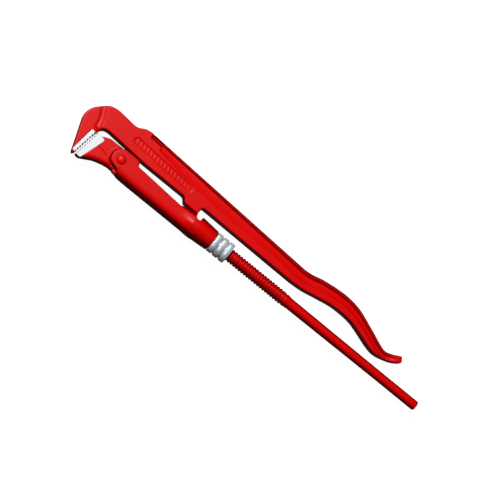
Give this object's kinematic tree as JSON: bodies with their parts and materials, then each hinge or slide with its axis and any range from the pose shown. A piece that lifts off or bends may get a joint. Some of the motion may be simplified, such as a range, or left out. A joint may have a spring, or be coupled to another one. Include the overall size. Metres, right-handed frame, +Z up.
{
  "type": "pipe wrench",
  "caption": "Pipe wrench with two toothed jaws set at a right angle, a fixed hooked upper arm, and a lower jaw moved along a threaded handle by a knurled nut.",
  "frame": {"origin": "centre of the tool's outline, at the height of its lowest point as it lies on its side", "axes": "+X along the threaded rod towards the end of the round handle, +Y from the rod towards the beam, +Z up, out of the tool's side"},
  "size_m": [0.4221, 0.064, 0.024],
  "materials": {
    "red_enamel": "glossy powder enamel over forged steel",
    "ground_steel": "bare, ground and hardened",
    "zinc_plate": "bright zinc plate, finely knurled",
    "bright_steel": "plain turned steel",
    "spring_steel": "dark tempered spring steel"
  },
  "bodies": {
    "arm": {"upper_arm": "red_enamel", "upper_tooth_plate": "ground_steel", "handle_pivot_pin": "bright_steel"},
    "rod": {"lower_handle": "red_enamel"},
    "carriage": {"sleeve": "red_enamel", "nut_retaining_ring": "spring_steel", "jaw_rivet": "red_enamel", "leaf_spring": "spring_steel", "spring_rivet": "bright_steel"},
    "nut": {"adjusting_nut": "zinc_plate"},
    "jaw": {"lower_jaw": "red_enamel", "lower_tooth_plate": "ground_steel"}
  },
  "joints": [
    {"name": "handle_pivot", "type": "hinge", "parent": "arm", "child": "rod", "pos_m": [-0.076, -0.0118, 0.012], "axis": [0, 0, 1], "range_deg": [-0.3, 1.6]},
    {"name": "jaw_slide", "type": "slide", "parent": "rod", "child": "carriage", "axis": [1, 0, 0], "range_m": [0, 0.05]},
    {"name": "nut_spin", "type": "hinge", "parent": "carriage", "child": "nut", "pos_m": [-0.031, -0.0118, 0.012], "axis": [1, 0, 0], "range_deg": [-5, 5600]},
    {"name": "jaw_pivot", "type": "hinge", "parent": "carriage", "child": "jaw", "pos_m": [-0.1563, -0.0082, 0.012], "axis": [0, 0, 1], "range_deg": [0, 8], "stiffness_Nm_per_rad": 1.5, "springref_deg": -5.73, "deforming": ["leaf_spring"]}
  ],
  "couplings": [
    {"joint": "nut_spin", "follows": "jaw_slide", "rad_per_m": 1933.3}
  ]
}
